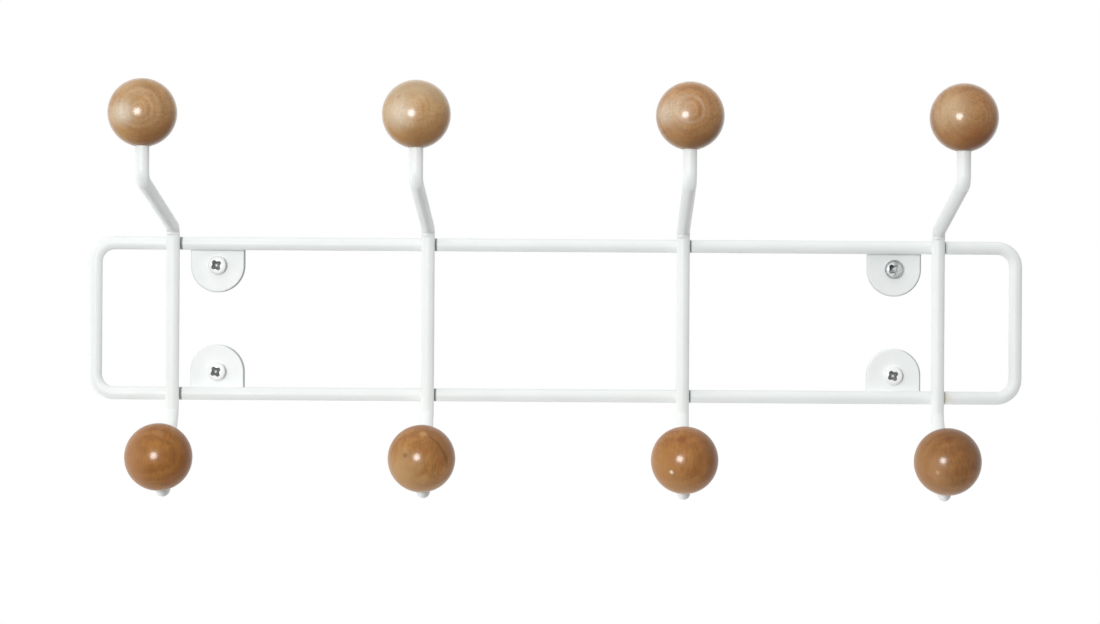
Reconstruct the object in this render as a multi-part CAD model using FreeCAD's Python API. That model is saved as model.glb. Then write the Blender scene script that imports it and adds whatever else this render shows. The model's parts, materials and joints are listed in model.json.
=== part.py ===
import FreeCAD, Part
import math
import os

# A wire coat rack for a wall: a long rounded loop of steel rod, four bent hook rods welded across
# its front, a wooden ball on each end of each hook rod, and four screwed tabs behind the loop.
# Sizes are in millimetres. X runs along the rack, Z points up and Y points into the wall, so the
# front faces -Y. The origin is on the wall, at the middle of the four screws.

# Loop
loop_rod = 6.0                # diameter of the loop's rod
rail_spacing = 69.0           # top rail's centre line to the bottom rail's
loop_overhang = 39.3          # outer hook rod's axis to the outside of the loop's end
loop_corner_radius = 8.7      # of the centre line at the four corners

# Hook rods
hook_rod = 6.0                # diameter
hook_count = 4
hook_pitch = 116.8            # between neighbouring hook rods
bend_radius = 5.0             # of the centre line, the same tool makes every bend
rod_end_chamfer = 0.5

# Upper hooks: heights are above the top rail's centre line
upper_reach = 83.0            # hook rod's axis to the ball's, towards the front
arm_root_rise = 7.0           # corner where the rod turns forwards into the arm
arm_tip_rise = 25.2           # corner where the arm turns up to the ball
upper_ball_rise = 53.6        # centre of the ball

# Lower hooks: drops are below the bottom rail's centre line
lower_reach = 37.0            # hook rod's axis to the ball's centre, towards the front
knee_drop = 8.0               # corner where the rod leaves the vertical
lower_ball_drop = 26.9        # centre of the ball
lower_leg_angle = 58.0        # degrees above level at which the rod enters the ball
lower_leg_gap = 0.5           # straight rod left between the ball and the last bend

# Balls
upper_ball = 29.4             # diameter
lower_ball = 30.0             # diameter
bore_depth = 17.0             # from the ball's surface to the floor of its blind hole
glue_gap = 0.1                # all round the rod in its hole
bore_chamfer = 0.7

# Welds: how far one piece sinks into the other
crossing_weld_depth = 0.6     # hook rod into the rails
tab_weld_depth = 0.3          # rails into the tabs

# Mounting tabs
tab_width = 25.0
tab_thickness = 2.0
tab_offset = 19.3             # outer hook rod's axis to the middle of the tab
tab_hole_inset = 10.0         # rail's centre line to the screw hole
tab_tail = 2.4                # rail's centre line to the tab's straight edge, behind the rail
tab_edge_radius = 0.8         # on the front edges
screw_clearance = 0.35        # all round the screw's thread in the tab's hole

# Wall screws
thread_diameter = 4.5
thread_core = 2.9
thread_pitch = 1.8
thread_land = 0.2             # flat on the crest of the thread
thread_flank = 0.45           # from the core to the crest, measured along the screw
screw_neck = 3.3              # plain part under the head
screw_length = 30.0           # underside of the head to the point
point_length = 4.5
head_diameter = 8.6
head_height = 2.5
head_side = 0.7               # upright part of the head's side
head_flat = 4.6               # diameter of the flat in the middle of the head
recess_span = 4.2             # cross recess, tip to tip
recess_width = 1.05           # of each wing
recess_depth = 1.7
recess_taper = 0.55           # share of the span that is left at the recess's floor
recess_turn = 35.0            # degrees that the cross is turned from upright

# Places that follow from the sizes above
top_rail_z = rail_spacing / 2
bottom_rail_z = -rail_spacing / 2
rail_y = -(tab_thickness + loop_rod / 2 - tab_weld_depth)
hook_y = rail_y - (loop_rod + hook_rod) / 2 + crossing_weld_depth
outer_hook_x = hook_pitch * (hook_count - 1) / 2
loop_end_x = outer_hook_x + loop_overhang - loop_rod / 2
tab_hole_radius = thread_diameter / 2 + screw_clearance


def unit(angle):
    """The direction at this many degrees above level, towards the front, as (forward, up)."""
    return math.cos(math.radians(angle)), math.sin(math.radians(angle))


def on_hook(x, forward, z):
    """A point in the upright plane of the hook rod at x."""
    return FreeCAD.Vector(x, hook_y - forward, z)


def fused(pieces):
    """The pieces as one solid, with seams between like faces removed."""
    whole = pieces[0].multiFuse(pieces[1:]).removeSplitter()
    return whole.Solids[0]


def bar(start, end, diameter):
    """A straight round bar from one point to another."""
    run = end - start
    return Part.makeCylinder(diameter / 2, run.Length, start, run)


def bend(start, into, out, radius, diameter):
    """A round bar bent from one direction to another, starting at a point."""
    axis = into.cross(out).normalize()
    centre = start + axis.cross(into) * radius
    section = Part.Face(Part.Wire(Part.makeCircle(diameter / 2, start, into)))
    return section.revolve(centre, axis, math.degrees(into.getAngle(out)))


def bent_bar(corners, radius, diameter):
    """A round bar along straight runs, with a bend of one radius at each corner between its ends."""
    pieces = []
    start = corners[0]
    for before, corner, after in zip(corners, corners[1:], corners[2:]):
        into = (corner - before).normalize()
        out = (after - corner).normalize()
        setback = radius * math.tan(into.getAngle(out) / 2)
        pieces.append(bar(start, corner - into * setback, diameter))
        pieces.append(bend(corner - into * setback, into, out, radius, diameter))
        start = corner + out * setback
    pieces.append(bar(start, corners[-1], diameter))
    return pieces


def chamfered_end(end, inward):
    """The chamfered tip of a hook rod, from its end face back to its full diameter."""
    tip = hook_rod / 2 - rod_end_chamfer
    return Part.makeCone(tip, hook_rod / 2, rod_end_chamfer, end, inward)


def lower_bend_corner(ball_forward, ball_z):
    """The corner of the bend under the lower ball, as (forward, height).

    The rod enters the ball at its set angle. The run down from the knee just touches the bend.
    """
    leg_forward, leg_up = unit(lower_leg_angle)
    straight = lower_ball / 2 + lower_leg_gap
    centre_forward = ball_forward - leg_forward * straight - leg_up * bend_radius
    centre_z = ball_z - leg_up * straight + leg_forward * bend_radius
    drop = bottom_rail_z - knee_drop - centre_z
    distance = math.hypot(centre_forward, drop)
    lean = math.atan2(centre_forward, drop) - math.asin(bend_radius / distance)
    turn = math.pi / 2 - lean + math.radians(lower_leg_angle)
    touch = math.sqrt(distance ** 2 - bend_radius ** 2)
    run = touch + bend_radius * math.tan(turn / 2)
    return math.sin(lean) * run, bottom_rail_z - knee_drop - math.cos(lean) * run


def hook(x):
    """A hook rod and the ball on each of its ends, as (rod, upper ball, lower ball)."""
    upper_centre = on_hook(x, upper_reach, top_rail_z + upper_ball_rise)
    lower_z = bottom_rail_z - lower_ball_drop
    lower_centre = on_hook(x, lower_reach, lower_z)
    leg_forward, leg_up = unit(lower_leg_angle)
    into_upper = FreeCAD.Vector(0, 0, 1)
    into_lower = FreeCAD.Vector(0, -leg_forward, leg_up)
    upper_end = upper_centre + into_upper * (bore_depth - upper_ball / 2)
    lower_end = lower_centre + into_lower * (bore_depth - lower_ball / 2)
    corner_forward, corner_z = lower_bend_corner(lower_reach, lower_z)
    corners = [
        upper_end - into_upper * rod_end_chamfer,
        on_hook(x, upper_reach, top_rail_z + arm_tip_rise),
        on_hook(x, 0, top_rail_z + arm_root_rise),
        on_hook(x, 0, bottom_rail_z - knee_drop),
        on_hook(x, corner_forward, corner_z),
        lower_end - into_lower * rod_end_chamfer,
    ]
    pieces = bent_bar(corners, bend_radius, hook_rod)
    pieces.append(chamfered_end(upper_end, -into_upper))
    pieces.append(chamfered_end(lower_end, -into_lower))
    upper = bored_ball(upper_ball, upper_centre, into_upper)
    lower = bored_ball(lower_ball, lower_centre, into_lower)
    return fused(pieces), upper, lower


def bored_ball(diameter, centre, into):
    """A ball with a chamfered blind hole that a rod enters in the given direction."""
    radius = diameter / 2
    bore = hook_rod / 2 + glue_gap
    rim = bore + bore_chamfer
    rim_depth = radius - math.sqrt(radius ** 2 - rim ** 2)
    outside = centre - into * (radius + 1)
    surface = centre - into * radius
    cone_top = surface + into * rim_depth
    hole = Part.makeCylinder(bore, bore_depth + 1, outside, into)
    mouth = Part.makeCylinder(rim, rim_depth + 1, outside, into)
    cone = Part.makeCone(rim, bore, bore_chamfer, cone_top, into)
    ball = Part.makeSphere(radius, centre)
    return ball.cut([hole, mouth, cone]).Solids[0]


def loop(hook_rods):
    """The loop, butt-joined in the middle of its bottom rail, with a hollow where each rod crosses."""
    joint = FreeCAD.Vector(0, rail_y, bottom_rail_z)
    corners = [
        joint,
        FreeCAD.Vector(loop_end_x, rail_y, bottom_rail_z),
        FreeCAD.Vector(loop_end_x, rail_y, top_rail_z),
        FreeCAD.Vector(-loop_end_x, rail_y, top_rail_z),
        FreeCAD.Vector(-loop_end_x, rail_y, bottom_rail_z),
        joint,
    ]
    whole = fused(bent_bar(corners, loop_corner_radius, loop_rod))
    return whole.cut(hook_rods).Solids[0]


def tab(x, side, rail_loop):
    """A half-round tab. side is 1 below the top rail and -1 above the bottom rail."""
    half = tab_width / 2
    hole_z = side * (rail_spacing / 2 - tab_hole_inset)
    edge_z = side * (rail_spacing / 2 + tab_tail)
    corner_a = FreeCAD.Vector(x - half, 0, edge_z)
    shoulder_a = FreeCAD.Vector(x - half, 0, hole_z)
    nose = FreeCAD.Vector(x, 0, hole_z - side * half)
    shoulder_b = FreeCAD.Vector(x + half, 0, hole_z)
    corner_b = FreeCAD.Vector(x + half, 0, edge_z)
    outline = Part.Wire([
        Part.LineSegment(corner_a, shoulder_a).toShape(),
        Part.Arc(shoulder_a, nose, shoulder_b).toShape(),
        Part.LineSegment(shoulder_b, corner_b).toShape(),
        Part.LineSegment(corner_b, corner_a).toShape(),
    ])
    plate = Part.Face(outline).extrude(FreeCAD.Vector(0, -tab_thickness, 0))
    front = [e for e in plate.Edges if abs(e.BoundBox.YMax + tab_thickness) < 1e-6]
    plate = plate.makeFillet(tab_edge_radius, front)
    through = FreeCAD.Vector(0, -1, 0)
    behind = FreeCAD.Vector(x, 1, hole_z)
    hole = Part.makeCylinder(tab_hole_radius, tab_thickness + 2, behind, through)
    return plate.cut([hole, rail_loop]).Solids[0]


def screw_outline():
    """The screw's profile under its head, as points (radius, distance from the head's underside)."""
    core = thread_core / 2
    crest = thread_diameter / 2
    points = [(head_diameter / 2, 0), (screw_neck / 2, 0), (screw_neck / 2, tab_thickness)]
    points.append((core, tab_thickness))
    along = tab_thickness
    while along + thread_pitch < screw_length - point_length:
        points.append((crest, along + thread_flank))
        points.append((crest, along + thread_flank + thread_land))
        points.append((core, along + 2 * thread_flank + thread_land))
        along = along + thread_pitch
        points.append((core, along))
    points.append((core, screw_length - point_length))
    points.append((0, screw_length))
    return points


def cross(span, depth_y):
    """The outline of the cross recess at one depth, centred on the Y axis."""
    tip = span / 2
    side = recess_width / 2
    corner = [(tip, side), (side, side), (side, tip)]
    points = []
    for quarter in range(4):
        for across, up in corner:
            for _ in range(quarter):
                across, up = -up, across
            points.append(FreeCAD.Vector(across, depth_y, up))
    return Part.makePolygon(points + points[:1])


def screw(x, z):
    """A pan-head wood screw through a tab. Its thread is a row of rings, one for each pitch."""
    side = head_diameter / 2
    flat = head_flat / 2
    dome_middle = (side * 0.82, head_side + (head_height - head_side) * 0.66)
    edges = []
    points = [FreeCAD.Vector(r, along, 0) for r, along in screw_outline()]
    axis_bottom = points[-1]
    top_centre = FreeCAD.Vector(0, -head_height, 0)
    flat_edge = FreeCAD.Vector(flat, -head_height, 0)
    side_top = FreeCAD.Vector(side, -head_side, 0)
    middle = FreeCAD.Vector(dome_middle[0], -dome_middle[1], 0)
    for start, end in zip(points, points[1:]):
        edges.append(Part.LineSegment(start, end).toShape())
    edges.append(Part.LineSegment(axis_bottom, top_centre).toShape())
    edges.append(Part.LineSegment(top_centre, flat_edge).toShape())
    edges.append(Part.Arc(flat_edge, middle, side_top).toShape())
    edges.append(Part.LineSegment(side_top, points[0]).toShape())
    section = Part.Face(Part.Wire(edges))
    turned = section.revolve(FreeCAD.Vector(0, 0, 0), FreeCAD.Vector(0, 1, 0), 360)
    top = cross(recess_span, -head_height - 0.01)
    floor = cross(recess_span * recess_taper, recess_depth - head_height)
    recess = Part.makeLoft([top, floor], True, True)
    recess.rotate(FreeCAD.Vector(0, 0, 0), FreeCAD.Vector(0, 1, 0), recess_turn)
    whole = turned.cut(recess).Solids[0]
    whole.translate(FreeCAD.Vector(x, -tab_thickness, z))
    return whole


def export(shape, name):
    shape.exportStep(os.path.join("parts", name + ".step"))


os.makedirs("parts", exist_ok=True)

hooks = []
for number in range(hook_count):
    hooks.append(hook(number * hook_pitch - outer_hook_x))

rail_loop = loop([rod for rod, _, _ in hooks])
export(rail_loop, "rail_loop")

for number, (rod, upper, lower) in enumerate(hooks, start=1):
    export(rod, f"hook_rod_{number}")
    export(upper, f"upper_ball_{number}")
    export(lower, f"lower_ball_{number}")

for row, side in (("upper", 1), ("lower", -1)):
    for column, x in (("left", tab_offset - outer_hook_x), ("right", outer_hook_x - tab_offset)):
        export(tab(x, side, rail_loop), f"mounting_tab_{row}_{column}")
        screw_z = side * (rail_spacing / 2 - tab_hole_inset)
        export(screw(x, screw_z), f"wall_screw_{row}_{column}")
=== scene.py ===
# %% [markdown]
# # A wire coat rack for a wall
# The rack is a long loop of white rod with four bent hook rods welded across its front. A wooden ball sits
# on each end of each hook rod, and four screwed tabs hold the loop to the wall. The rods, tabs and balls
# arrive as finished shapes from the construction model. This script gives them their finishes, and makes
# what is too fine for that model: the weld beads, the folds at the bends, and the screws with their recess
# and thread.

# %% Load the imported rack
import bmesh
import bpy
import json
import math
from mathutils import Matrix, Vector

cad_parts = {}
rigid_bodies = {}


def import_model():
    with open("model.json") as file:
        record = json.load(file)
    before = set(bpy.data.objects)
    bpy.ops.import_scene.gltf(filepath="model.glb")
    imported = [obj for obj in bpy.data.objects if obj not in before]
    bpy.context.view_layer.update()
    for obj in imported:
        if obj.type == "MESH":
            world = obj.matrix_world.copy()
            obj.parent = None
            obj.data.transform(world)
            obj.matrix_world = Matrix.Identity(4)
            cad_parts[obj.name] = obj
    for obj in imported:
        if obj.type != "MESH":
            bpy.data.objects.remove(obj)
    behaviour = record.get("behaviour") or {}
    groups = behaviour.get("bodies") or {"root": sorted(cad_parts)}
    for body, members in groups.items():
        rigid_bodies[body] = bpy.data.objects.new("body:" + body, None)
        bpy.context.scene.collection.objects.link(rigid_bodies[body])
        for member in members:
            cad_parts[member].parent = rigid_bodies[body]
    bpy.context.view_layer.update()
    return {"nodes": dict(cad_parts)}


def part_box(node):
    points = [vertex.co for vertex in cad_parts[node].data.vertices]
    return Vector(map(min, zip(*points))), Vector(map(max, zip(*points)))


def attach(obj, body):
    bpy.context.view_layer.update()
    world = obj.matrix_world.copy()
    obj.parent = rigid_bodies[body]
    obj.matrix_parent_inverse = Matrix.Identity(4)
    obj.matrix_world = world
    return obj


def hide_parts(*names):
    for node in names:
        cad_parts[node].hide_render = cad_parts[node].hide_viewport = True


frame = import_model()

nodes = frame["nodes"]

# %% [markdown]
# ## Sizes
# Blender measures in metres, and a rack like this is measured in millimetres, so small sizes are written as
# a number times MM. The places come from the boxes of the rods, balls and tabs, and not from a tape
# measure: if the rack is made longer, everything that this script adds goes along.

# %% Sizes
MM = 0.001


def middle(name):
    """The middle of a node's box."""
    low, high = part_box(name)
    return (low + high) / 2


def half_width(name):
    """Half of a node's size along the rack. For a ball or an upright rod this is its radius."""
    low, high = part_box(name)
    return (high.x - low.x) / 2


hook_numbers = range(1, 5)
rod_radius = half_width("hook_rod_1")
loop_low, loop_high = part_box("rail_loop")
rail_y = (loop_low.y + loop_high.y) / 2
rail_radius = (loop_high.y - loop_low.y) / 2
rail_heights = (loop_low.z + rail_radius, loop_high.z - rail_radius)
hook_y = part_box("hook_rod_1")[1].y - rod_radius
print("rod radius:", round(rod_radius / MM, 2), "rails at z:", [round(z / MM, 2) for z in rail_heights])

# %% [markdown]
# ## The camera
# The rack is seen almost square on, from a little more than a metre in front of the wall. A long lens keeps
# the outer hooks from leaning outwards. A small shift of the lens puts the rack where it belongs in the
# frame without turning the camera, so upright rods stay upright. The camera is rolled by about a third of a
# degree, as a camera held by hand is.

# %% Camera
def look_along_y(name, place, roll):
    """A camera that looks along +Y with +Z up, rolled by some degrees."""
    camera = bpy.data.objects.new(name, bpy.data.cameras.new(name))
    bpy.context.scene.collection.objects.link(camera)
    upright = Matrix.Rotation(math.radians(90), 4, "X")
    camera.matrix_world = Matrix.Translation(place) @ upright @ Matrix.Rotation(math.radians(roll), 4, "Z")
    return camera


camera = look_along_y("camera", place=(0.020, -1.2101, 0.00685), roll=0.36)
camera.data.sensor_width = 36.0
camera.data.lens = 85.75
camera.data.shift_x = -0.0446
camera.data.shift_y = -0.0055
camera.data.clip_start = 0.05
camera.data.clip_end = 50.0
bpy.context.scene.camera = camera
print("camera at", tuple(round(v, 4) for v in camera.location), "lens", camera.data.lens)

# %% [markdown]
# ## A few words for trees of nodes
# The world, the floor and every finish are small trees of nodes. These helpers let a tree be written as
# sentences: add a node with its inputs, do a sum, turn one range of numbers into another. An input may be a
# plain number or the output of another node, and feed() takes either.

# %% Helpers for trees of nodes
def feed(tree, socket, value):
    """Links a socket to another node's output, or sets it to a number, a vector or a colour."""
    if isinstance(value, bpy.types.NodeSocket):
        tree.links.new(value, socket)
    elif socket.type == "RGBA":
        socket.default_value = (*value, 1.0)
    else:
        socket.default_value = value


def feed_all(tree, node, **inputs):
    """Feeds some inputs of a node. An input is given by its name, with _ for a space."""
    for name, value in inputs.items():
        feed(tree, node.inputs[name.replace("_", " ")], value)


def add(tree, kind, **inputs):
    """A new node with some inputs fed."""
    made = tree.nodes.new("ShaderNode" + kind)
    feed_all(tree, made, **inputs)
    return made


def worked_out(tree, kind, operation, values):
    """A Math or Vector Math node with its values fed in their order."""
    made = add(tree, kind)
    made.operation = operation
    for socket, value in zip(made.inputs, values):
        feed(tree, socket, value)
    return made.outputs


def sum_of(tree, operation, *values):
    """The result of a Math node."""
    return worked_out(tree, "Math", operation, values)[0]


def vector_sum(tree, operation, *values):
    """The result of a Vector Math node: a number for a length or a distance, and a vector for the rest."""
    results = worked_out(tree, "VectorMath", operation, values)
    return results["Value" if operation in ("LENGTH", "DISTANCE", "DOT_PRODUCT") else "Vector"]


def ramp(tree, value, start, end, low=0.0, high=1.0, kind="LINEAR"):
    """A number that goes from low to high while value goes from start to end."""
    made = add(tree, "MapRange", Value=value, From_Min=start, From_Max=end, To_Min=low, To_Max=high)
    made.interpolation_type = kind
    return made.outputs["Result"]


def fade(tree, value, start, end, low=0.0, high=1.0):
    """A ramp with a soft start and a soft end."""
    return ramp(tree, value, start, end, low, high, "SMOOTHSTEP")


print("words for trees:", [word.__name__ for word in (feed, feed_all, add, sum_of, vector_sum, ramp, fade)])

# %% [markdown]
# ## The light
# White rods on a white ground need an even light, or they vanish, and one small lamp, or they look flat.
# The world gives the even part, brighter from above and from the left, as a room with a window is. Its
# Light Path node shows the camera and the reflections a pure white, while the light that falls on the rack
# stays lower, so the white paint keeps its own shades of grey.

# %% White world
def shown_white(tree):
    """1 for the rays that the camera, a reflection or a clear surface sends out, and 0 for plain light."""
    ray = add(tree, "LightPath").outputs
    shown = sum_of(tree, "MAXIMUM", ray["Is Camera Ray"], ray["Is Glossy Ray"])
    return sum_of(tree, "MAXIMUM", shown, ray["Is Transmission Ray"])


def white_world(dark_side, bright_side, toward):
    """A world that is white to look at and in reflections, and lights the rack more from one side."""
    world = bpy.data.worlds.new("white_studio")
    world.use_nodes = True
    tree = world.node_tree
    direction = add(tree, "TexCoord").outputs["Generated"]
    share = vector_sum(tree, "DOT_PRODUCT", direction, Vector(toward).normalized())
    light = ramp(tree, share, -1.0, 1.0, dark_side, bright_side)
    strength = ramp(tree, shown_white(tree), 0.0, 1.0, light, 1.0)
    feed_all(tree, tree.nodes["Background"], Color=(1.0, 1.0, 1.0), Strength=strength)
    return world


bpy.context.scene.world = white_world(dark_side=0.04, bright_side=0.91, toward=(-0.45, -0.25, 0.86))
bpy.context.scene.view_settings.view_transform = "Standard"
print("world:", bpy.context.scene.world.name, "view:", bpy.context.scene.view_settings.view_transform)

# %% [markdown]
# The key lamp is a round one, a little left of the camera and as far away. It puts the bright spot on each
# ball and the thin shadows beside the rods. A strip above the upper balls lightens their tops, and a window
# on the left brightens their left sides. Area lamps also show in reflections. The balls need that of the
# key lamp, but the square shape of the window would look odd on them, so the window is hidden from
# reflections, and no lamp shows to the camera.

# %% Lamps
def lamp(name, place, target, watts, width, height=None):
    """An area lamp that faces a target: a disc, or a rectangle if it has a height."""
    data = bpy.data.lights.new(name, "AREA")
    data.shape = "RECTANGLE" if height else "DISK"
    data.size = width
    data.size_y = height or width
    data.energy = watts
    light = bpy.data.objects.new(name, data)
    bpy.context.scene.collection.objects.link(light)
    light.location = place
    light.rotation_euler = (Vector(target) - Vector(place)).to_track_quat("-Z", "Y").to_euler()
    light.visible_camera = False
    return light


key = lamp("key_lamp", (-0.30, -1.16, 0.09), (0, 0, 0), watts=5.8, width=0.28)
strip = lamp("top_strip", (-0.06, -0.22, 0.34), (0, -0.06, 0.05), watts=0.13, width=0.7, height=0.12)
window = lamp("left_window", (-0.72, -0.44, 0.09), (0, -0.09, 0.09), watts=0.25, width=0.6, height=0.35)
window.visible_glossy = False
print("lamps:", [(light.name, round(light.data.energy, 2)) for light in (key, strip, window)])

# %% [markdown]
# A wall behind the rack would throw light back on the wire just in front of it, from the sides and from
# below, and hardly any on the balls, which stand well clear. There is no wall here, so three white cards do
# its work from just behind the rack. Light linking gives a card's light to the pieces that the wall would
# reach, and to no others.

# %% Cards in place of the wall
def only_for(light, names):
    """Gives a lamp's light to these nodes, and to nothing else."""
    lit = bpy.data.collections.new(f"{light.name}_lit")
    light.light_linking.receiver_collection = lit
    for name in names:
        lit.objects.link(nodes[name])
    return lit


hook_rods = [f"hook_rod_{number}" for number in hook_numbers]
lower_balls = [f"lower_ball_{number}" for number in hook_numbers]
upper_balls = [f"upper_ball_{number}" for number in hook_numbers]
wire = ["rail_loop"] + hook_rods
low_card = lamp("low_card", (0.0, 0.06, -0.45), (0, -0.04, 0), watts=1.15, width=0.9, height=0.3)
left_card = lamp("left_card", (-1.10, 0.24, -0.30), (0, -0.02, 0), watts=4.0, width=0.5, height=0.5)
right_card = lamp("right_card", (1.10, 0.24, -0.30), (0, -0.02, 0), watts=1.7, width=0.5, height=0.5)
reached = {low_card: wire + lower_balls, left_card: wire + upper_balls + lower_balls, right_card: wire}
for card, names in reached.items():
    card.visible_glossy = False
    print(card.name, "lights", len(only_for(card, names).objects), "pieces")

# %% [markdown]
# A lacquered ball shows the key lamp as a small hard spot. A real lamp glows softly round its edge, and so
# does the spot. So a wider and weaker disc stands at the same place, and only the balls reflect it: its
# plain light is turned off, so it adds a soft edge to the spots, and brightens nothing else.

# %% Soft edge of the key lamp
gleam = lamp("soft_edge", key.location, (0, 0, 0), watts=13.0, width=0.44)
gleam.visible_diffuse = False
print(gleam.name, "shows in", len(only_for(gleam, upper_balls + lower_balls).objects), "balls")

# %% [markdown]
# ## The floor
# The rack hangs on a wall, so nothing stands near it. A pale floor far below is out of the main view, and
# shows only when the rack is looked at from above. It is a plain diffuse white that keeps a shadow, mixed
# with a share of its own light for the camera, so it doesn't look grey. That share grows with the distance
# from the rack, until the floor is as white as the world, so its edge never shows.

# %% Floor
def floor_paint(glow, melt):
    """Matt paint with a share of its own light, which grows from glow to 1 between two distances."""
    material = bpy.data.materials.new("floor_white")
    material.use_nodes = True
    tree = material.node_tree
    tree.nodes.clear()
    matt = add(tree, "BsdfDiffuse", Color=(0.32, 0.32, 0.32)).outputs[0]
    distance = vector_sum(tree, "LENGTH", add(tree, "TexCoord").outputs["Object"])
    share = sum_of(tree, "MULTIPLY", shown_white(tree), ramp(tree, distance, *melt, glow, 1.0))
    shine = add(tree, "Emission").outputs[0]
    mix = add(tree, "MixShader")
    for socket, value in zip(mix.inputs, (share, matt, shine)):
        feed(tree, socket, value)
    add(tree, "OutputMaterial", Surface=mix.outputs[0])
    return material


def pale_floor(height, size, material):
    """A square floor."""
    shape = bmesh.new()
    bmesh.ops.create_grid(shape, x_segments=1, y_segments=1, size=size / 2)
    bmesh.ops.translate(shape, verts=shape.verts, vec=(0, 0, height))
    mesh = bpy.data.meshes.new("floor")
    shape.to_mesh(mesh)
    shape.free()
    mesh.materials.append(material)
    floor = bpy.data.objects.new("floor", mesh)
    bpy.context.scene.collection.objects.link(floor)
    return floor


floor_height = -0.8
floor = pale_floor(floor_height, 14.0, floor_paint(glow=0.9, melt=(1.2, 4.5)))
print("floor at z", floor_height, "with", len(floor.data.polygons), "face")

# %% [markdown]
# ## A few words for the finishes
# A finish also needs colours laid over each other, noise for what is uneven, and bumps that bend the light.
# Every pattern starts from Object coordinates, which here are metres in the rack's own frame, so the
# pattern of a rod goes on where the rod does, and a mark can be put at a place on the rack.

# %% Helpers for finishes
def finish(name):
    """A new material, as (material, its tree, its Principled shader)."""
    material = bpy.data.materials.new(name)
    material.use_nodes = True
    return material, material.node_tree, material.node_tree.nodes["Principled BSDF"]


def repaint(name, material):
    """Gives a node this material in place of its plain one."""
    slots = nodes[name].data.materials
    slots.clear()
    slots.append(material)


def place_of(tree):
    """Where a point of the surface is, in metres in the rack's frame."""
    return add(tree, "TexCoord").outputs["Object"]


def part(tree, vector, axis):
    """The X, Y or Z of a vector."""
    return add(tree, "SeparateXYZ", Vector=vector).outputs[axis]


def facing(tree, axis):
    """How far the surface faces along an axis, from -1 to 1."""
    return part(tree, add(tree, "TexCoord").outputs["Normal"], axis)


def off_by(tree, value, level):
    """How far a value is from a level, on either side of it."""
    return sum_of(tree, "ABSOLUTE", sum_of(tree, "SUBTRACT", value, level))


print("pattern scale: one metre is", round(1 / MM), "mm")

# %% [markdown]
# Paint and wood are never one even tone. A noise says where they are lighter, duller or thinner, one colour
# is laid over another by that share, and a bump bends the light as if the surface swelled there.

# %% Helpers for patterns
def noise(tree, where, scale, detail, roughness=0.5):
    """A cloudy noise from 0 to 1, with about this many clouds to a metre."""
    made = add(tree, "TexNoise", Vector=where, Scale=scale, Detail=detail, Roughness=roughness)
    return made.outputs["Fac"]


def wander(tree, where, scale, detail, reach):
    """A noise round zero, which makes a smooth edge or line an uneven one."""
    return sum_of(tree, "MULTIPLY", sum_of(tree, "SUBTRACT", noise(tree, where, scale, detail), 0.5), reach)


def over(tree, share, under, top):
    """One colour laid over another by a share."""
    mix = add(tree, "Mix")
    mix.data_type = "RGBA"
    for socket, value in zip((mix.inputs[0], mix.inputs[6], mix.inputs[7]), (share, under, top)):
        feed(tree, socket, value)
    return mix.outputs[2]


def shaded(colour, share):
    """A colour made darker, or lighter where the share is over 1."""
    return [share * amount for amount in colour]


def bumps(tree, height, strength, depth):
    """The direction of a surface that swells by depth where height goes from 0 to 1."""
    return add(tree, "Bump", Strength=strength, Distance=depth, Height=height).outputs["Normal"]


print("words for patterns:", [word.__name__ for word in (noise, wander, over, shaded, bumps)])

# %% [markdown]
# ## White powder coat
# The rods and tabs are steel with a baked powder paint. Up close it isn't flat: the powder melts into a
# skin with faint pebbles about a millimetre across, called orange peel, and the coat is a little thinner
# and duller in places. So the tree has three noises: one for a hardly visible change of tint, one for the
# pebbles, which only bend the light through a Bump node, and one that makes the gloss uneven. The paint is
# a cool white.

# %% Powder coat
def powder_coat(name, white, shade, gloss_range, pebble, painted_shade_and_stain=None):
    """Powder paint between two tints, with a roughness range, a pebble size and its own painted shade and
    stain, if any.
    """
    material, tree, shader = finish(name)
    where = place_of(tree)
    tone = over(tree, fade(tree, noise(tree, where, 38.0, 4.0), 0.35, 0.65), shade, white)
    # painted shade and shadow laid on the tone, and the loop's stain
    if painted_shade_and_stain:
        tone = painted_shade_and_stain(tree, tone, where)
    roughness = fade(tree, noise(tree, where, 160.0, 3.0), 0.3, 0.7, *gloss_range)
    peel = bumps(tree, noise(tree, where, 1 / pebble, 2.0), 0.10, 0.15 * MM)
    feed_all(tree, shader, Base_Color=tone, Roughness=roughness, Normal=peel, Specular_IOR_Level=0.35)
    return material


peel_size = 1.0 * MM
rod_gloss = (0.34, 0.44)
print("orange peel: pebbles of about", round(peel_size / MM, 1), "mm")

# %% [markdown]
# The valley on the right of each hook rod, where the rod meets the rail, gets a grey band of painted shadow.
# One valley also has a yellow stain. All four valleys are one pattern: the distance along the rack is
# wrapped at the pitch of the hooks.

# %% Painted shadows and a stain on the loop
hook_pitch = middle("hook_rod_2").x - middle("hook_rod_1").x
first_valley = middle("hook_rod_1").x + rod_radius + 0.12 * MM
stain_place = (middle("hook_rod_4").x + rod_radius + 1.8 * MM, rail_y - rail_radius, rail_heights[0])
# grey of the painted shadow in the valleys
valley_shadow_grey = (0.22, 0.23, 0.225)
stain_yellow = (0.82, 0.76, 0.66)


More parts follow.
